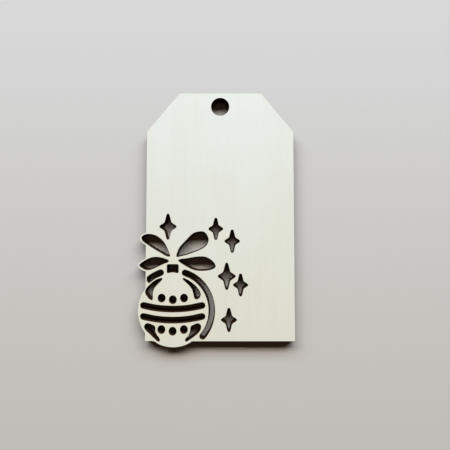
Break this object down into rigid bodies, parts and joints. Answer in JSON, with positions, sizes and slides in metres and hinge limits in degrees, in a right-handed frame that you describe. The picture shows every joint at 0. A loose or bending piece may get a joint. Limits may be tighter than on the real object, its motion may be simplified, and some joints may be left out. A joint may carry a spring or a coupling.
{
  "type": "wooden gift tag",
  "caption": "Flat gift tag of laser-cut three-ply board with sloping shoulders, a hanging hole, and a bauble, bow and sparkles cut through it.",
  "frame": {"origin": "on the back face, at the middle of the tag's plain rectangle", "axes": "+Y along the tag's height towards the hanging hole, +Z out of the front face, +X to the right as seen from the front"},
  "size_m": [0.0529, 0.0862, 0.003],
  "materials": {
    "limewood_veneer": "bare, sanded",
    "limewood_core": "bare, browned by the laser at its edge",
    "glue_film": "hard, dark, charred at its edge"
  },
  "bodies": {
    "root": {"front_veneer": "limewood_veneer", "front_glue_film": "glue_film", "core_ply": "limewood_core", "back_glue_film": "glue_film", "back_veneer": "limewood_veneer"}
  },
  "joints": []
}
